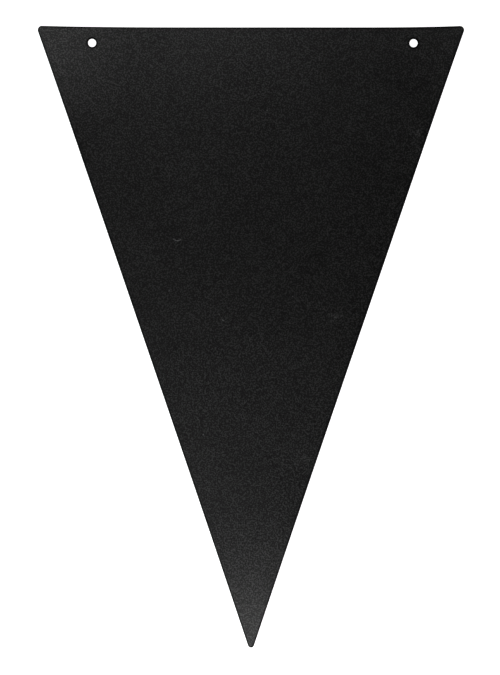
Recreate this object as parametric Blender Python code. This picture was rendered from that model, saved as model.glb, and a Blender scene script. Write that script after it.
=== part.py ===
"""One pennant of a chalkboard bunting, die-cut from a stiff sheet of black grained plastic.

The pennant lies face up, its top edge towards +Y and its long tip towards -Y. The middle of
the sheet is flat on the surface, and its three corners curl up, each by its own amount. The
sheet is parted into three pieces: a short strip round each cord hole, at the two top corners,
and the pennant itself. Units are metres, +Z is up, and the origin is the centre of the
sheet's underside.
"""
import math
from typing import NamedTuple

import bmesh
import bpy
from mathutils import Matrix, Vector

# Driving dimensions, with the triangle's own taken before its corners are rounded
TRIANGLE_WIDTH = 0.2016
TRIANGLE_HEIGHT = 0.2935
THICKNESS = 0.001
CORNER_RADIUS = 0.002
TIP_RADIUS = 0.0012

# The two punched cord holes, which sit a little off the middle of the top edge
HOLE_DIAMETER = 0.004
HOLE_SPACING = 0.151
HOLE_SHIFT = 0.00075
HOLE_DROP = 0.0075

# The strip round each cord hole, at a top corner, and the gap that parts it from the pennant
STRIP_HEIGHT = 0.015
STRIP_LENGTH = 0.035
PART_GAP = 0.0003

# How finely round shapes are stepped
ARC_STEPS = 5
HOLE_SIDES = 32

# Places worked out from the driving dimensions
HALF_TIP_ANGLE = math.atan2(TRIANGLE_WIDTH / 2, TRIANGLE_HEIGHT)
HEIGHT = TRIANGLE_HEIGHT - TIP_RADIUS / math.sin(HALF_TIP_ANGLE) + TIP_RADIUS
TOP_Y = HEIGHT / 2
TIP_Y = TOP_Y - TRIANGLE_HEIGHT
STRIP_FOOT_Y = TOP_Y - STRIP_HEIGHT
STRIP_END_X = TRIANGLE_WIDTH / 2 - STRIP_LENGTH
HOLE_Y = TOP_Y - HOLE_DROP
LEFT_HOLE_X = HOLE_SHIFT - HOLE_SPACING / 2
RIGHT_HOLE_X = HOLE_SHIFT + HOLE_SPACING / 2

# The finish of the sheet: deep black, matt, with a faint plastic sheen
CHALKBOARD_BLACK = (0.012, 0.012, 0.012, 1.0)
CHALKBOARD_ROUGHNESS = 0.6
CHALKBOARD_METALLIC = 0.0


class Corner(NamedTuple):
    """A corner of an outline: where its straight edges would meet, and its rounding."""
    point: Vector
    radius: float


class Curl(NamedTuple):
    """A corner of the sheet that curls up.

    The sheet is flat up to reach from the corner, measured straight into the sheet along
    inward, and from there it rises to lift at the corner, in flat steps.
    """
    corner: Vector
    inward: Vector
    reach: float
    lift: float
    steps: int


def bisector(corner, first, second):
    """Return the direction from a corner, midway between two other corners."""
    return ((first - corner).normalized() + (second - corner).normalized()).normalized()


LEFT_CORNER = Vector((-TRIANGLE_WIDTH / 2, TOP_Y))
RIGHT_CORNER = Vector((TRIANGLE_WIDTH / 2, TOP_Y))
TIP = Vector((0.0, TIP_Y))

CURLS = (
    Curl(corner=LEFT_CORNER, inward=bisector(LEFT_CORNER, RIGHT_CORNER, TIP),
         reach=0.065, lift=0.0055, steps=8),
    Curl(corner=RIGHT_CORNER, inward=bisector(RIGHT_CORNER, TIP, LEFT_CORNER),
         reach=0.039, lift=0.0052, steps=6),
    Curl(corner=TIP, inward=bisector(TIP, LEFT_CORNER, RIGHT_CORNER),
         reach=0.109, lift=0.0080, steps=10),
)


def clear_scene():
    """Remove the objects that a new file opens with."""
    for item in list(bpy.data.objects):
        bpy.data.objects.remove(item, do_unlink=True)


def make_collection(name):
    """Add a collection to the scene."""
    collection = bpy.data.collections.new(name)
    bpy.context.scene.collection.children.link(collection)
    return collection


def chalkboard_material(name):
    """Return the black chalkboard finish of one piece of the sheet."""
    material = bpy.data.materials.new(name)
    material.use_nodes = True
    shader = material.node_tree.nodes["Principled BSDF"]
    shader.inputs["Base Color"].default_value = CHALKBOARD_BLACK
    shader.inputs["Roughness"].default_value = CHALKBOARD_ROUGHNESS
    shader.inputs["Metallic"].default_value = CHALKBOARD_METALLIC
    return material


def half_width_at(y):
    """Return half the width of the triangle at a height y."""
    return (y - TIP_Y) * math.tan(HALF_TIP_ANGLE)


def rounded_outline(corners):
    """Return the points of an anticlockwise outline, each rounded corner as an arc."""
    points = []
    for index, corner in enumerate(corners):
        before = (corners[index - 1].point - corner.point).normalized()
        after = (corners[(index + 1) % len(corners)].point - corner.point).normalized()
        if corner.radius == 0.0:
            points.append(corner.point)
            continue
        half_angle = before.angle(after) / 2
        centre = corner.point + (before + after).normalized() * corner.radius / math.sin(half_angle)
        spoke = corner.point + before * corner.radius / math.tan(half_angle) - centre
        sweep = math.pi - 2 * half_angle
        for step in range(ARC_STEPS + 1):
            turn = Matrix.Rotation(sweep * step / ARC_STEPS, 2)
            points.append(centre + turn @ spoke)
    return points


def cut_plate(name, outline, collection):
    """Return a flat plate of the sheet's thickness with the given outline, lying on z = 0."""
    curve = bpy.data.curves.new(name + "_outline", "CURVE")
    curve.dimensions = "2D"
    curve.fill_mode = "BOTH"
    curve.extrude = THICKNESS / 2
    spline = curve.splines.new("POLY")
    spline.points.add(len(outline) - 1)
    for place, point in zip(spline.points, outline):
        place.co = (point.x, point.y, 0.0, 1.0)
    spline.use_cyclic_u = True
    drawing = bpy.data.objects.new(name + "_outline", curve)
    drawing.location.z = THICKNESS / 2
    collection.objects.link(drawing)
    bpy.context.view_layer.update()

    drawn = drawing.evaluated_get(bpy.context.evaluated_depsgraph_get())
    mesh = bpy.data.meshes.new_from_object(drawn)
    mesh.name = name
    plate = bpy.data.objects.new(name, mesh)
    plate.matrix_world = drawing.matrix_world.copy()
    collection.objects.link(plate)
    bpy.data.objects.remove(drawing, do_unlink=True)
    return plate


def curl_height(curl, point):
    """Return how far a curl lifts a point of the sheet, straight between the flat steps."""
    depth = (point - curl.corner).dot(curl.inward)
    risen = max(0.0, (curl.reach - depth) / curl.reach * curl.steps)
    step = math.floor(risen)
    return curl.lift * (step ** 2 + (2 * step + 1) * (risen - step)) / curl.steps ** 2


def curl_corners(plate):
    """Fold the plate in flat steps towards each corner that curls up."""
    mesh = bmesh.new()
    mesh.from_mesh(plate.data)
    bmesh.ops.remove_doubles(mesh, verts=mesh.verts, dist=1e-6)
    for curl in CURLS:
        for step in range(curl.steps):
            fold = curl.corner + curl.inward * curl.reach * (1 - step / curl.steps)
            everything = mesh.verts[:] + mesh.edges[:] + mesh.faces[:]
            bmesh.ops.bisect_plane(mesh, geom=everything, dist=1e-6,
                                   plane_co=fold.to_3d(), plane_no=curl.inward.to_3d())
    for vertex in mesh.verts:
        vertex.co.z += sum(curl_height(curl, vertex.co.xy) for curl in CURLS)
    bmesh.ops.recalc_face_normals(mesh, faces=mesh.faces)
    mesh.to_mesh(plate.data)
    mesh.free()


def punch_hole(plate, name, x, collection):
    """Punch one cord hole through the plate."""
    longest_lift = max(curl.lift for curl in CURLS)
    bpy.ops.mesh.primitive_cylinder_add(vertices=HOLE_SIDES, radius=HOLE_DIAMETER / 2,
                                        depth=4 * longest_lift, location=(x, HOLE_Y, 0.0))
    punch = bpy.context.active_object
    punch.name = name
    for owner in punch.users_collection:
        owner.objects.unlink(punch)
    collection.objects.link(punch)
    punch.hide_render = True
    punch.display_type = "WIRE"
    hole = plate.modifiers.new(name, "BOOLEAN")
    hole.operation = "DIFFERENCE"
    hole.solver = "EXACT"
    hole.object = punch


def build_piece(name, outline, pieces):
    """Return one piece of the sheet: cut, curled with the sheet's corners, and finished."""
    piece = cut_plate(name, outline, pieces)
    curl_corners(piece)
    piece.data.materials.append(chalkboard_material(name + "_black"))
    return piece


def build_left_strip(pieces, cutters):
    """Return the strip of the top left corner, with its cord hole."""
    strip = build_piece("left_eyelet_strip", rounded_outline((
        Corner(LEFT_CORNER, CORNER_RADIUS),
        Corner(Vector((-half_width_at(STRIP_FOOT_Y), STRIP_FOOT_Y)), 0.0),
        Corner(Vector((-STRIP_END_X, STRIP_FOOT_Y)), 0.0),
        Corner(Vector((-STRIP_END_X, TOP_Y)), 0.0),
    )), pieces)
    punch_hole(strip, "left_hole", LEFT_HOLE_X, cutters)
    return strip


def build_right_strip(pieces, cutters):
    """Return the strip of the top right corner, with its cord hole."""
    strip = build_piece("right_eyelet_strip", rounded_outline((
        Corner(Vector((STRIP_END_X, TOP_Y)), 0.0),
        Corner(Vector((STRIP_END_X, STRIP_FOOT_Y)), 0.0),
        Corner(Vector((half_width_at(STRIP_FOOT_Y), STRIP_FOOT_Y)), 0.0),
        Corner(RIGHT_CORNER, CORNER_RADIUS),
    )), pieces)
    punch_hole(strip, "right_hole", RIGHT_HOLE_X, cutters)
    return strip


def build_pennant(pieces):
    """Return the rest of the sheet: its middle up to the top edge, and all below the strips."""
    neck_x = STRIP_END_X - PART_GAP
    shoulder_y = STRIP_FOOT_Y - PART_GAP
    shoulder_x = half_width_at(shoulder_y)
    return build_piece("pennant", rounded_outline((
        Corner(TIP, TIP_RADIUS),
        Corner(Vector((shoulder_x, shoulder_y)), 0.0),
        Corner(Vector((neck_x, shoulder_y)), 0.0),
        Corner(Vector((neck_x, TOP_Y)), 0.0),
        Corner(Vector((-neck_x, TOP_Y)), 0.0),
        Corner(Vector((-neck_x, shoulder_y)), 0.0),
        Corner(Vector((-shoulder_x, shoulder_y)), 0.0),
    )), pieces)


def main():
    """Build the pennant: the three pieces of its sheet, carried by one empty."""
    clear_scene()
    pieces = make_collection("chalkboard_pennant")
    cutters = make_collection("cutters")
    sheet = bpy.data.objects.new("sheet", None)
    pieces.objects.link(sheet)
    left_strip = build_left_strip(pieces, cutters)
    right_strip = build_right_strip(pieces, cutters)
    for piece in (left_strip, right_strip, build_pennant(pieces)):
        piece.parent = sheet


main()
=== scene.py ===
"""Looks of a chalkboard bunting pennant: one die-cut sheet of black grained plastic.

The sheet lies face up on a glowing white studio table, its long tip towards -Y. Its middle
is flat, its three corners curl up a little, and two cord holes are punched under its top
edge. The face is matt and finely grained, with a few traces of chalk, lint and handling.
Wide pale films of painted sheen lighten its tip and top-left corner, and a painted dark
line runs along its cut edges and hole rims.
"""
import logging
import math
from dataclasses import dataclass
from enum import Enum
from typing import Callable

import bmesh
import bpy
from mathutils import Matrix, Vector, noise


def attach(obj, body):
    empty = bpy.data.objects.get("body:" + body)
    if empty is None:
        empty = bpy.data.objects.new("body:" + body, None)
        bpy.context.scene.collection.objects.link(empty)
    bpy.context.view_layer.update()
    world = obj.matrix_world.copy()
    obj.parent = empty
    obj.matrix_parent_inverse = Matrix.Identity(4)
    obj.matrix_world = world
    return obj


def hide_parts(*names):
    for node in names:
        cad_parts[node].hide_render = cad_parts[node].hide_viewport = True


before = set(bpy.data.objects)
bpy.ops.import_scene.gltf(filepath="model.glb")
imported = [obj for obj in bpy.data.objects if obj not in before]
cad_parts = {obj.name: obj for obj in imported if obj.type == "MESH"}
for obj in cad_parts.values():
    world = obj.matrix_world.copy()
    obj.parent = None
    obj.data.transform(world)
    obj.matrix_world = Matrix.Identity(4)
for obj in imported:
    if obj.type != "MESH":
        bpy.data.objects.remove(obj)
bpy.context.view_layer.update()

LOG = logging.getLogger("pennant")

MM = 0.001

# The photo's scale on the sheet, and the pixel at the sheet's middle, for marks on its face
PIXEL = 0.4715 * MM
PIXEL_MIDDLE = (251.0, 335.7)


def from_photo(column: float, row: float) -> Vector:
    """Give the place on the sheet of a pixel of the photo.

    Args:
        column: Pixels from the photo's left side.
        row: Pixels from the photo's top.

    Returns:
        The place in metres, x to the right and y towards the top edge.
    """
    return Vector(((column - PIXEL_MIDDLE[0]) * PIXEL, (PIXEL_MIDDLE[1] - row) * PIXEL, 0.0))


def linear(colour: str) -> tuple[float, float, float, float]:
    """Turn an sRGB hex colour into linear light.

    Args:
        colour: Six hex digits after a hash.

    Returns:
        Red, green, blue and an alpha of one.
    """
    channels = [int(colour[start:start + 2], 16) / 255 for start in (1, 3, 5)]
    light = [c / 12.92 if c <= 0.04045 else ((c + 0.055) / 1.055) ** 2.4 for c in channels]
    return (*light, 1.0)


def make_active(piece: bpy.types.Object) -> None:
    """Select one object alone and make it the active one."""
    bpy.ops.object.select_all(action="DESELECT")
    piece.select_set(True)
    bpy.context.view_layer.objects.active = piece


def apply_modifier(piece: bpy.types.Object, kind: str, **settings: object) -> None:
    """Add a modifier to a piece and apply it.

    Args:
        piece: The piece.
        kind: The modifier's type.
        settings: The modifier's properties by name.
    """
    make_active(piece)
    modifier = piece.modifiers.new(kind.lower(), kind)
    for name, value in settings.items():
        setattr(modifier, name, value)
    bpy.ops.object.modifier_apply(modifier=modifier.name)


def select_edges(piece: bpy.types.Object, chosen: Callable[[bmesh.types.BMEdge], bool]) -> None:
    """Select some edges of the piece in edit mode, and nothing else.

    Args:
        piece: The piece.
        chosen: Tells whether an edge is one of them.
    """
    bpy.ops.mesh.select_mode(type="EDGE")
    bpy.ops.mesh.select_all(action="DESELECT")
    mesh = bmesh.from_edit_mesh(piece.data)
    for edge in mesh.edges:
        if chosen(edge):
            edge.select_set(True)
    bmesh.update_edit_mesh(piece.data)


@dataclass(frozen=True)
class Finish:
    """What every finish shares: its name, its nodes and the way that they are added."""

    name: str

    def start(self) -> bpy.types.Material:
        """Add an empty material of this finish's name."""
        material = bpy.data.materials.new(self.name)
        material.use_nodes = True
        material.node_tree.nodes.clear()
        return material

    @staticmethod
    def add(material: bpy.types.Material, kind: str, settings: dict | None = None,
            **inputs: object) -> bpy.types.Node:
        """Add one node with its settings and links.

        Args:
            material: The material that gets the node.
            kind: The node's type.
            settings: The node's properties by name.
            inputs: Its inputs by name, a blank written as an underscore, or by number after
                the word at. A node links its first output, a socket links itself, and
                anything else is the input's value.

        Returns:
            The new node.
        """
        tree = material.node_tree
        node = tree.nodes.new(kind)
        for name, value in (settings or {}).items():
            setattr(node, name, value)
        for name, value in inputs.items():
            key = int(name[2:]) if name[2:].isdigit() else name.replace("_", " ")
            if isinstance(value, bpy.types.Node):
                tree.links.new(value.outputs[0], node.inputs[key])
            elif isinstance(value, bpy.types.NodeSocket):
                tree.links.new(value, node.inputs[key])
            else:
                node.inputs[key].default_value = value
        return node


class MarkKind(Enum):
    """The traces of use on the face, and a wide painted sheen."""

    # A painted sheen: wide soft pale patches that lighten the tip and the top-left corner
    FILM = "wide painted sheen"
    SMUDGE = "rubbed chalk"
    SPECK = "speck or short scratch of chalk"
    FIBRE = "curled fibre of lint"


@dataclass(frozen=True)
class Mark:
    """One mark at a pixel of the photo: an oval of dust or of painted sheen, or a fibre bent to an
    arc.

    Its length runs along the turn, in degrees. Length and width are in millimetres.
    """

    kind: MarkKind
    column: float
    row: float
    length: float
    width: float
    turn: float
    strength: float

    def place(self) -> Vector:
        """Give the mark's middle on the sheet, in millimetres."""
        return from_photo(self.column, self.row) / MM


@dataclass(frozen=True)
class Edge:
    """A straight side of the sheet: the direction out of it, and how far out it lies."""

    outward: Vector
    reach: float


@dataclass(frozen=True)
class SandGrainedPvc(Finish):
    """Rigid black PVC sheet, calendered against a sand-grained roll.

    Its tiny pits scatter the light, so the face looks matt and speckled, a raking light
    leaves a wide faint sheen, and chalk clings to it. Depths and periods are millimetres.
    """

    edges: tuple[Edge, ...]
    holes: tuple[Vector, ...]
    hole_radius: float
    marks: tuple[Mark, ...] = ()
    crest: str = "#3f3f3f"
    pit: str = "#000000"
    # The pale colour of chalk, and of the painted sheen on the tip and the top-left corner
    chalk: str = "#b4b4b4"
    ior: float = 1.53
    roughness: tuple[float, float] = (0.32, 0.36)
    chalk_roughness: float = 0.85
    grain_period: float = 0.64
    grain_depth: float = 0.15
    grain_turn: tuple[float, float, float] = (0.5, 0.6, 0.3)
    blotch_period: float = 22.0
    # The painted dark line along the cut edges and hole rims: where it fades out, in millimetres,
    # and its darkest factor
    rim: tuple[float, float] = (0.8, 1.2)
    rim_shade: float = 0.02

    def material(self) -> bpy.types.Material:
        """Build the finish: grain, blotches, a painted dark line along the cut edges, and chalk and
        painted sheen on the crests.
        """
        made = self.start()
        place = self.place(made)
        turned = self.add(made, "ShaderNodeMapping", Vector=place, Rotation=self.grain_turn)
        grain = self.add(made, "ShaderNodeTexNoise", Vector=turned, Scale=1 / self.grain_period,
                         Detail=0.7, Roughness=0.7)
        blotch = self.add(made, "ShaderNodeTexNoise", Vector=place, Scale=1 / self.blotch_period,
                          Detail=3.0)
        blotch_shade = self.add(made, "ShaderNodeMapRange", Value=blotch, From_Min=0.3,
                                From_Max=0.7, To_Min=0.97, To_Max=1.03)
        # The blotches and the painted dark line along the cut edges darken the plastic
        shade = self.add(made, "ShaderNodeMath", {"operation": "MULTIPLY"}, at0=blotch_shade,
                         at1=self.painted_edge_darkening(made, place))
        height = self.add(made, "ShaderNodeMapRange", Value=grain, From_Min=0.47, From_Max=0.64)
        plastic = self.add(made, "ShaderNodeMix", {"data_type": "RGBA"}, at0=height,
                           at6=linear(self.pit), at7=linear(self.crest))
        shaded = self.add(made, "ShaderNodeVectorMath", {"operation": "SCALE"},
                          at0=plastic.outputs[2], Scale=shade)
        gloss = self.add(made, "ShaderNodeMapRange", Value=blotch, From_Min=0.3, From_Max=0.7,
                         To_Min=self.roughness[0], To_Max=self.roughness[1])
        catch = self.add(made, "ShaderNodeMapRange", Value=height, To_Min=0.5, To_Max=1.3)
        dust_and_sheen = self.add(made, "ShaderNodeMath", {"operation": "MULTIPLY"}, at0=catch,
                        at1=self.dust_and_sheen(made, place))
        colour = self.add(made, "ShaderNodeMix", {"data_type": "RGBA"}, at0=dust_and_sheen, at6=shaded,
                          at7=linear(self.chalk))
        roughness = self.add(made, "ShaderNodeMix", {"data_type": "FLOAT"}, at0=dust_and_sheen, at2=gloss,
                             at3=self.chalk_roughness)
        relief = self.add(made, "ShaderNodeBump", Height=grain,
                          Distance=self.grain_depth * MM, Strength=1.0)
        shader = self.add(made, "ShaderNodeBsdfPrincipled", Base_Color=colour.outputs[2],
                          Roughness=roughness, IOR=self.ior, Normal=relief)
        self.add(made, "ShaderNodeOutputMaterial", Surface=shader)
        return made

    def place(self, made: bpy.types.Material) -> bpy.types.Node:
        """Add the place on the sheet, in millimetres."""
        spot = self.add(made, "ShaderNodeTexCoord").outputs["Object"]
        return self.add(made, "ShaderNodeVectorMath", {"operation": "SCALE"}, at0=spot,
                        Scale=1 / MM)

    def painted_edge_darkening(self, made: bpy.types.Material, place: bpy.types.Node) -> bpy.types.Node:
        """Add the painted dark line: how dark the face is near its cut edges and hole rims.

        Args:
            made: The material.
            place: The place on the sheet.

        Returns:
            The factor, one away from the edges.
        """
        distances = []
        for edge in self.edges:
            along = self.add(made, "ShaderNodeVectorMath", {"operation": "DOT_PRODUCT"}, at0=place,
                             at1=edge.outward).outputs["Value"]
            distances.append(self.add(made, "ShaderNodeMath", {"operation": "SUBTRACT"},
                                      at0=edge.reach / MM, at1=along))
        flat = self.add(made, "ShaderNodeVectorMath", {"operation": "MULTIPLY"}, at0=place,
                        at1=(1.0, 1.0, 0.0))
        for hole in self.holes:
            away = self.add(made, "ShaderNodeVectorMath", {"operation": "DISTANCE"}, at0=flat,
                            at1=hole / MM).outputs["Value"]
            distances.append(self.add(made, "ShaderNodeMath", {"operation": "SUBTRACT"}, at0=away,
                                      at1=self.hole_radius / MM))
        nearest = distances[0]
        for distance in distances[1:]:
            nearest = self.add(made, "ShaderNodeMath", {"operation": "MINIMUM"}, at0=nearest,
                               at1=distance)
        return self.add(made, "ShaderNodeMapRange", {"interpolation_type": "SMOOTHSTEP"},
                        Value=nearest, From_Min=self.rim[0], From_Max=self.rim[1],
                        To_Min=self.rim_shade, To_Max=1.0)

    def dust_and_sheen(self, made: bpy.types.Material, place: bpy.types.Node) -> bpy.types.Node:
        """Add how much pale chalk dust and painted sheen cover the face, from all marks.

        Args:
            made: The material.
            place: The place on the sheet.

        Returns:
            The cover, from 0 to 1.
        """
        spots = self.add(made, "ShaderNodeTexNoise", Vector=place, Scale=0.45, Detail=3.0)
        patches = self.add(made, "ShaderNodeMapRange", Value=spots, From_Min=0.35, From_Max=0.65,
                           To_Min=0.1, To_Max=1.0)
        total = self.add(made, "ShaderNodeValue")
        for mark in self.marks:
            middle = mark.place()
            bent = mark.kind is MarkKind.FIBRE
            reach = (1.0, 1.0) if bent else (mark.length / 2, mark.width / 2)
            spot = self.add(made, "ShaderNodeMapping", {"vector_type": "TEXTURE"}, Vector=place,
                            Location=(middle.x, middle.y, 0.0), Scale=(*reach, 1 / MM),
                            Rotation=(0.0, 0.0, math.radians(mark.turn)))
            away = self.add(made, "ShaderNodeVectorMath", {"operation": "LENGTH"},
                            at0=spot).outputs["Value"]
            if bent:
                cover = self.fibre_cover(made, mark, spot, away)
            else:
                # A film mark is painted sheen: a wide soft pale patch, palest in its middle
                cover = self.add(made, "ShaderNodeMapRange", {"interpolation_type": "SMOOTHSTEP"},
                                 Value=away, From_Max=1.0, To_Min=mark.strength, To_Max=0.0,
                                 From_Min=0.0 if mark.kind is MarkKind.FILM else 0.2)
            if mark.kind is MarkKind.SMUDGE:
                cover = self.add(made, "ShaderNodeMath", {"operation": "MULTIPLY"}, at0=cover,
                                 at1=patches)
            total = self.add(made, "ShaderNodeMath", {"operation": "MAXIMUM"}, at0=total, at1=cover)
        return total

    def fibre_cover(self, made: bpy.types.Material, mark: Mark, spot: bpy.types.Node,
                    away: bpy.types.NodeSocket) -> bpy.types.Node:
        """Add a thin line along the lowest part of a circle, as wide as the mark is long.

        Args:
            made: The material.
            mark: The fibre.
            spot: The place from the fibre's middle, in millimetres.
            away: How far that place is from the middle.

        Returns:
            The cover, from 0 to the mark's strength.
        """
        off_line = self.add(made, "ShaderNodeMath", {"operation": "SUBTRACT"}, at0=away,
                            at1=mark.length / 2)
        off = self.add(made, "ShaderNodeMath", {"operation": "ABSOLUTE"}, at0=off_line)
        line = self.add(made, "ShaderNodeMapRange", Value=off, From_Min=0.2 * mark.width,
                        From_Max=mark.width, To_Min=mark.strength, To_Max=0.0)
        height = self.add(made, "ShaderNodeSeparateXYZ", at0=spot).outputs["Y"]
        lower = self.add(made, "ShaderNodeMapRange", Value=height, To_Min=1.0, To_Max=0.0,
                         From_Min=-0.37 * mark.length, From_Max=-0.30 * mark.length)
        return self.add(made, "ShaderNodeMath", {"operation": "MULTIPLY"}, at0=line, at1=lower)


@dataclass(frozen=True)
class DieCutWall(Finish):
    """The cut side of black PVC sheet, sheared by a steel rule.

    It is smoother than the face and shows the fine upright drag lines of the blade, so the
    edge reads as a thin darker line. Periods and depths are millimetres.
    """

    body: str = "#030303"
    drag: str = "#0a0a0a"
    ior: float = 1.53
    sheen_left: float = 0.05
    roughness: float = 0.6
    drag_period: float = 0.35
    drag_depth: float = 0.02

    def material(self) -> bpy.types.Material:
        """Build the finish: drag lines that run through the sheet's thickness."""
        made = self.start()
        spot = self.add(made, "ShaderNodeTexCoord").outputs["Object"]
        stretched = self.add(made, "ShaderNodeVectorMath", {"operation": "MULTIPLY"}, at0=spot,
                             at1=(1 / MM, 1 / MM, 0.12 / MM))
        lines = self.add(made, "ShaderNodeTexNoise", Vector=stretched, Scale=1 / self.drag_period,
                         Detail=2.0)
        colour = self.add(made, "ShaderNodeMix", {"data_type": "RGBA"}, at0=lines,
                          at6=linear(self.body), at7=linear(self.drag))
        relief = self.add(made, "ShaderNodeBump", Height=lines, Distance=self.drag_depth * MM,
                          Strength=1.0)
        shader = self.add(made, "ShaderNodeBsdfPrincipled", Base_Color=colour.outputs[2],
                          Roughness=self.roughness, IOR=self.ior, Normal=relief,
                          Specular_IOR_Level=self.sheen_left)
        self.add(made, "ShaderNodeOutputMaterial", Surface=shader)
        return made


@dataclass(frozen=True)
class OpalAcrylic(Finish):
    """Opal acrylic, lit from below, as on a table for cut-out product photos.

    It glows an even pure white, so nothing on it throws a shadow.
    """

    colour: str = "#f2f2f2"
    glow: float = 1.0
    roughness: float = 0.5
    ior: float = 1.49

    def material(self) -> bpy.types.Material:
        """Build the finish."""
        made = self.start()
        shader = self.add(made, "ShaderNodeBsdfPrincipled", Base_Color=linear(self.colour),
                          Roughness=self.roughness, IOR=self.ior,
                          Emission_Color=linear("#ffffff"), Emission_Strength=self.glow)
        self.add(made, "ShaderNodeOutputMaterial", Surface=shader)
        return made


@dataclass(frozen=True)
class Corner:
    """A corner of the sheet, where its sides would meet: its rounding and its curl.

    The sheet is flat up to reach from the corner, measured straight into the sheet along
    inward, and from there it rises ever faster to lift at the corner.
    """

    point: Vector
    inward: Vector
    half_angle: float
    radius: float
    reach: float
    lift: float
    sharpness: float

    def height(self, point: Vector) -> float:
        """Give how far the curl lifts a point of the sheet."""
        depth = (point - self.point).dot(self.inward)
        return self.lift * max(0.0, 1 - depth / self.reach) ** self.sharpness

    def tangents(self, steps: int) -> list[tuple[Vector, Vector]]:
        """List the cuts that round the corner off, and the side that follows it.

        Args:
            steps: How many cuts there are.

        Returns:
            A point of each cut and the direction out of the sheet.
        """
        centre = self.point + self.inward * self.radius / math.sin(self.half_angle)
        sweep = math.pi - 2 * self.half_angle
        outward = math.atan2(-self.inward.y, -self.inward.x)
        cuts = []
        for step in range(1, steps + 1):
            turn = outward - sweep / 2 + sweep * step / steps
            direction = Vector((math.cos(turn), math.sin(turn), 0.0))
            cuts.append((centre + direction * self.radius, direction))
        return cuts


@dataclass
class ChalkboardPennant:
    """The die-cut sheet: a long triangle with rounded corners, in metres."""

    width: float = 0.2016
    height: float = 0.2943
    thickness: float = 0.001
    corner_radius: float = 0.002
    tip_radius: float = 0.0015
    corner_cuts: int = 6
    hole_diameter: float = 0.004
    hole_taper: float = 0.00025
    hole_spacing: float = 0.1514
    hole_shift: float = 0.0009
    hole_drop: float = 0.0075
    hole_sides: int = 48
    face_roll: float = 0.0006
    back_roll: float = 0.00012
    level: float = 0.995
    cell: float = 0.0025
    warp: float = 0.0002
    warp_period: float = 0.07
    marks: tuple[Mark, ...] = ()

    @property
    def half_tip(self) -> float:
        """Half the angle between the two long sides."""
        return math.atan2(self.width / 2, self.height)

    @property
    def top_y(self) -> float:
        """The top edge's place, with the sheet's middle at the origin."""
        rounded_off = self.tip_radius / math.sin(self.half_tip) - self.tip_radius
        return (self.height - rounded_off) / 2

    def corners(self) -> tuple[Corner, Corner, Corner]:
        """Give the right, left and tip corner, in the order of the outline."""
        right = Vector((self.width / 2, self.top_y, 0.0))
        left = Vector((-self.width / 2, self.top_y, 0.0))
        tip = Vector((0.0, self.top_y - self.height, 0.0))
        top_half = (math.pi / 2 - self.half_tip) / 2
        to_left = ((left - right).normalized() + (tip - right).normalized()).normalized()
        to_right = ((right - left).normalized() + (tip - left).normalized()).normalized()
        return (
            Corner(right, to_left, top_half, self.corner_radius,
                   reach=0.037, lift=0.0052, sharpness=2.3),
            Corner(left, to_right, top_half, self.corner_radius,
                   reach=0.062, lift=0.0055, sharpness=2.7),
            Corner(tip, Vector((0.0, 1.0, 0.0)), self.half_tip, self.tip_radius,
                   reach=0.138, lift=0.0080, sharpness=2.2),
        )

    def holes(self) -> tuple[Vector, Vector]:
        """Give the middles of the two cord holes."""
        y = self.top_y - self.hole_drop
        return (Vector((self.hole_shift - self.hole_spacing / 2, y, 0.0)),
                Vector((self.hole_shift + self.hole_spacing / 2, y, 0.0)))

    def build(self) -> bpy.types.Object:
        """Build the sheet, cut, punched, rounded, curled and finished."""
        sheet = self.cut_blank()
        self.punch_holes(sheet)
        self.roll_rims(sheet)
        self.cut_cells(sheet)
        self.dress(sheet)
        self.curl(sheet)
        make_active(sheet)
        bpy.ops.object.shade_smooth_by_angle(angle=math.radians(50))
        apply_modifier(sheet, "WEIGHTED_NORMAL", keep_sharp=True)
        return sheet

    def cut_blank(self) -> bpy.types.Object:
        """Cut the outline out of a larger plate, straight cut by straight cut."""
        margin = 10 * MM
        bpy.ops.object.select_all(action="DESELECT")
        bpy.ops.mesh.primitive_cube_add(size=1.0, location=(0.0, 0.0, self.thickness / 2))
        sheet = bpy.context.active_object
        sheet.name = "chalkboard_pennant"
        sheet.scale = (self.width + 2 * margin, self.height + 2 * margin, self.thickness)
        bpy.ops.object.transform_apply(location=True, rotation=True, scale=True)
        bpy.ops.object.mode_set(mode="EDIT")
        for corner in self.corners():
            for place, direction in corner.tangents(self.corner_cuts):
                bpy.ops.mesh.select_all(action="SELECT")
                bpy.ops.mesh.bisect(plane_co=place, plane_no=direction, use_fill=True,
                                    clear_outer=True, threshold=1e-6)
        bpy.ops.object.mode_set(mode="OBJECT")
        return sheet

    def punch_holes(self, sheet: bpy.types.Object) -> None:
        """Punch the two cord holes, which narrow a little towards the back."""
        face_radius = self.hole_diameter / 2
        back_radius = face_radius - self.hole_taper / 2
        middle = Vector((0.0, 0.0, self.thickness / 2))
        for hole in self.holes():
            bpy.ops.object.select_all(action="DESELECT")
            bpy.ops.mesh.primitive_cone_add(vertices=self.hole_sides, location=hole + middle,
                                            radius1=1.5 * back_radius - 0.5 * face_radius,
                                            radius2=1.5 * face_radius - 0.5 * back_radius,
                                            depth=2 * self.thickness)
            punch = bpy.context.active_object
            apply_modifier(sheet, "BOOLEAN", operation="DIFFERENCE", solver="EXACT", object=punch)
            bpy.data.objects.remove(punch, do_unlink=True)

    def roll_rims(self, sheet: bpy.types.Object) -> None:
        """Round the rims: the die rolls the face's rim over and leaves the back's sharper."""
        make_active(sheet)
        bpy.ops.object.mode_set(mode="EDIT")
        for level, roll, steps in ((self.thickness, self.face_roll, 4), (0.0, self.back_roll, 2)):
            select_edges(sheet, lambda edge: len(edge.link_faces) == 2
                         and all(abs(end.co.z - level) < 1e-6 for end in edge.verts)
                         and edge.calc_face_angle(0.0) > math.radians(60))
            bpy.ops.mesh.bevel(offset=roll, offset_type="OFFSET", segments=steps, profile=0.5,
                               affect="EDGES", clamp_overlap=False)
        bpy.ops.object.mode_set(mode="OBJECT")

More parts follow.
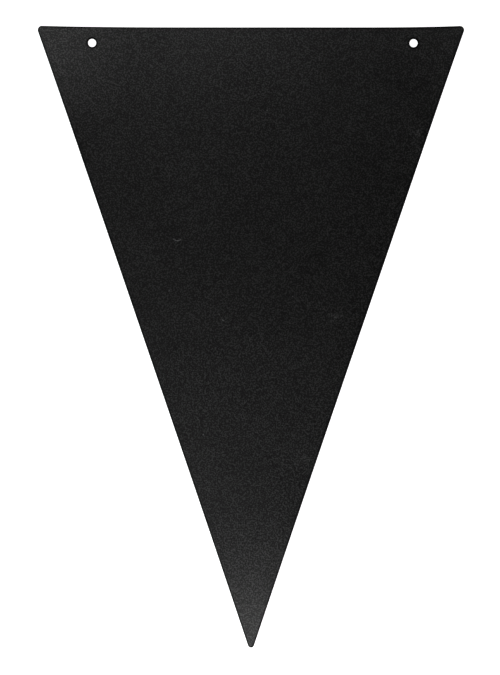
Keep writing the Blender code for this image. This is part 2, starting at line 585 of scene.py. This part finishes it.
    def cut_cells(self, sheet: bpy.types.Object) -> None:
        """Cut the sheet into small cells, so that it can curl smoothly."""
        make_active(sheet)
        bpy.ops.object.mode_set(mode="EDIT")
        for axis, length in ((0, self.width), (1, self.height)):
            count = math.ceil(length / self.cell)
            for step in range(1, count):
                place = Vector((0.0, 0.0, 0.0))
                place[axis] = (step / count - 0.5) * length
                direction = Vector((0.0, 0.0, 0.0))
                direction[axis] = 1.0
                bpy.ops.mesh.select_all(action="SELECT")
                bpy.ops.mesh.bisect(plane_co=place, plane_no=direction, threshold=1e-6)
        bpy.ops.object.mode_set(mode="OBJECT")

    def dress(self, sheet: bpy.types.Object) -> None:
        """Give the face, the cut walls and the back their finishes."""
        right, left, tip = self.corners()
        slope = self.half_tip
        edges = []
        for corner, outward in ((right, Vector((math.cos(slope), -math.sin(slope), 0.0))),
                                (left, Vector((0.0, 1.0, 0.0))),
                                (tip, Vector((-math.cos(slope), -math.sin(slope), 0.0)))):
            edges.append(Edge(outward, corner.point.dot(outward)))
        shape = {"edges": tuple(edges), "holes": self.holes(),
                 "hole_radius": self.hole_diameter / 2}
        for finish in (SandGrainedPvc("sand_grained_black_pvc_face", marks=self.marks, **shape),
                       DieCutWall("die_cut_black_pvc_wall"),
                       SandGrainedPvc("sand_grained_black_pvc_back", **shape)):
            sheet.data.materials.append(finish.material())
        for side in sheet.data.polygons:
            upright = side.normal.z
            side.material_index = 0 if upright > self.level else 2 if upright < -self.level else 1

    def curl(self, sheet: bpy.types.Object) -> None:
        """Lift the three corners and let the sheet warp a little."""
        corners = self.corners()
        for vertex in sheet.data.vertices:
            flat = Vector((vertex.co.x, vertex.co.y, 0.0))
            lift = sum(corner.height(flat) for corner in corners)
            wave = noise.noise(flat / self.warp_period, noise_basis="PERLIN_ORIGINAL")
            vertex.co.z += lift + self.warp * (0.5 + 0.5 * wave)
        sheet.data.update()


@dataclass
class SoftLight:
    """A square soft light, aimed at a point of the table. Power is in watts."""

    name: str
    place: tuple[float, float, float]
    size: float
    power: float
    aim: tuple[float, float, float] = (0.0, 0.0, 0.0)

    def build(self) -> bpy.types.Object:
        """Add the light."""
        lamp = bpy.data.lights.new(self.name, "AREA")
        lamp.shape = "SQUARE"
        lamp.size = self.size
        lamp.energy = self.power
        light = bpy.data.objects.new(self.name, lamp)
        light.location = self.place
        direction = Vector(self.aim) - Vector(self.place)
        light.rotation_euler = direction.to_track_quat("-Z", "Y").to_euler()
        bpy.context.scene.collection.objects.link(light)
        return light


@dataclass
class Studio:
    """The light table, its glowing backdrop, the lights, the dim room, and the camera above."""

    table_size: float = 8.0
    table_depth: float = 0.02
    table_gap: float = 0.05 * MM
    backdrop_radius: float = 3.8
    backdrop_height: float = 1.1
    backdrop_glow: float = 0.6
    backdrop_sheet: float = 0.004
    room: str = "#0a0a0a"
    camera_height: float = 1.0
    sensor: float = 36.0
    framed_length: float = 0.3183
    camera_shift: tuple[float, float] = (-0.00046, -0.0006)
    lights: tuple[SoftLight, ...] = (
        SoftLight("front_left", (-0.104, -0.253, 0.355), size=0.18, power=0.518),
        SoftLight("low_back_right", (0.222, 0.294, 0.138), size=0.16, power=0.040),
        SoftLight("back", (-0.053, 0.296, 0.263), size=0.16, power=0.150),
        SoftLight("high_left", (-0.571, 0.160, 1.123), size=0.51, power=0.263),
    )

    def build_table(self) -> bpy.types.Object:
        """Add the light table, with eased edges, its top just under the sheet."""
        bpy.ops.object.select_all(action="DESELECT")
        bpy.ops.mesh.primitive_cube_add(
            size=1.0, location=(0.0, 0.0, -self.table_gap - self.table_depth / 2))
        table = bpy.context.active_object
        table.name = "light_table"
        table.scale = (self.table_size, self.table_size, self.table_depth)
        bpy.ops.object.transform_apply(location=True, rotation=True, scale=True)
        bpy.ops.object.mode_set(mode="EDIT")
        bpy.ops.mesh.select_all(action="SELECT")
        bpy.ops.mesh.bevel(offset=0.2 * self.table_depth, segments=3, affect="EDGES")
        bpy.ops.object.mode_set(mode="OBJECT")
        table.data.materials.append(OpalAcrylic("backlit_opal_acrylic").material())
        return table

    def build_backdrop(self) -> None:
        """Add a round wall of the same glowing sheet, far round the table's middle."""
        bpy.ops.object.select_all(action="DESELECT")
        bpy.ops.mesh.primitive_cylinder_add(
            vertices=96, radius=self.backdrop_radius, depth=self.backdrop_height,
            end_fill_type="NOTHING", location=(0.0, 0.0, self.backdrop_height / 2 - self.table_gap))
        wall = bpy.context.active_object
        wall.name = "backdrop"
        bpy.ops.object.transform_apply(location=True, rotation=True, scale=True)
        apply_modifier(wall, "SOLIDIFY", thickness=self.backdrop_sheet, offset=1.0)
        bpy.ops.object.shade_smooth_by_angle(angle=math.radians(50))
        finish = OpalAcrylic("backlit_opal_backdrop", glow=self.backdrop_glow)
        wall.data.materials.append(finish.material())

    def build_lights(self) -> None:
        """Add the soft lights and the dim room."""
        for light in self.lights:
            light.build()
        room = bpy.data.worlds.new("dim_room")
        room.use_nodes = True
        room.node_tree.nodes["Background"].inputs["Color"].default_value = linear(self.room)
        bpy.context.scene.world = room

    def build_camera(self) -> None:
        """Add the camera, straight above, with a lens that frames the sheet as in the photo."""
        camera = bpy.data.cameras.new("camera")
        camera.lens = self.sensor * self.camera_height / self.framed_length
        camera.sensor_width = self.sensor
        camera.clip_end = 100.0
        stand = bpy.data.objects.new("camera", camera)
        stand.location = (*self.camera_shift, self.camera_height)
        bpy.context.scene.collection.objects.link(stand)
        bpy.context.scene.camera = stand
        bpy.context.scene.view_settings.view_transform = "Standard"


# The traces of use that the photo shows, at their pixels; the three wide films are painted sheen
# that lightens the top-left corner and the tip
MARKS = (
    Mark(MarkKind.FILM, 37.0, 26.0, length=120.0, width=120.0, turn=0.0, strength=0.16),
    Mark(MarkKind.FILM, 251.0, 648.0, length=145.0, width=145.0, turn=0.0, strength=0.15),
    Mark(MarkKind.FILM, 251.0, 648.0, length=105.0, width=105.0, turn=0.0, strength=0.24),
    Mark(MarkKind.FIBRE, 177.5, 235.2, length=4.8, width=0.3, turn=-3.0, strength=0.45),
    Mark(MarkKind.SPECK, 218.5, 312.0, length=8.0, width=0.7, turn=-63.0, strength=0.09),
    Mark(MarkKind.SPECK, 223.0, 319.7, length=2.2, width=0.8, turn=-41.0, strength=0.5),
    Mark(MarkKind.SMUDGE, 335.5, 315.0, length=8.5, width=4.5, turn=0.0, strength=0.14),
    Mark(MarkKind.SMUDGE, 331.5, 321.5, length=3.5, width=2.5, turn=30.0, strength=0.1),
    Mark(MarkKind.SMUDGE, 308.0, 305.0, length=4.0, width=2.5, turn=30.0, strength=0.09),
    Mark(MarkKind.SMUDGE, 418.6, 132.3, length=7.0, width=3.8, turn=60.0, strength=0.13),
    Mark(MarkKind.SMUDGE, 305.0, 460.0, length=9.0, width=6.0, turn=-50.0, strength=0.05),
    Mark(MarkKind.SPECK, 203.3, 433.9, length=0.9, width=0.9, turn=0.0, strength=0.45),
    Mark(MarkKind.SPECK, 198.2, 418.9, length=0.8, width=0.8, turn=0.0, strength=0.3),
    Mark(MarkKind.SPECK, 232.8, 591.9, length=0.8, width=0.8, turn=0.0, strength=0.3),
    Mark(MarkKind.SPECK, 322.3, 185.6, length=0.8, width=0.8, turn=0.0, strength=0.25),
    Mark(MarkKind.SPECK, 261.8, 336.2, length=0.8, width=0.8, turn=0.0, strength=0.25),
    Mark(MarkKind.SPECK, 292.8, 296.0, length=0.8, width=0.8, turn=0.0, strength=0.25),
    Mark(MarkKind.SPECK, 199.6, 260.2, length=1.2, width=0.9, turn=-50.0, strength=0.2),
    Mark(MarkKind.SPECK, 169.4, 290.6, length=1.4, width=0.9, turn=30.0, strength=0.2),
    Mark(MarkKind.SPECK, 180.2, 268.3, length=1.1, width=0.9, turn=0.0, strength=0.18),
    Mark(MarkKind.SPECK, 213.6, 291.6, length=1.0, width=0.9, turn=0.0, strength=0.18),
    Mark(MarkKind.SPECK, 267.0, 110.0, length=0.8, width=0.8, turn=0.0, strength=0.2),
)


def main() -> None:
    """Build the pennant and the studio round it."""
    logging.basicConfig(level=logging.INFO, format="%(name)s: %(message)s")
    studio = Studio()
    table = studio.build_table()
    studio.build_backdrop()
    sheet = ChalkboardPennant(marks=MARKS).build()
    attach(sheet, "root")
    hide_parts("left_eyelet_strip", "right_eyelet_strip", "pennant")
    LOG.info("%s has %d faces", sheet.name, len(sheet.data.polygons))
    studio.build_lights()
    studio.build_camera()
    LOG.info("the studio has %d lights", len(studio.lights))


if __name__ == "__main__":
    main()
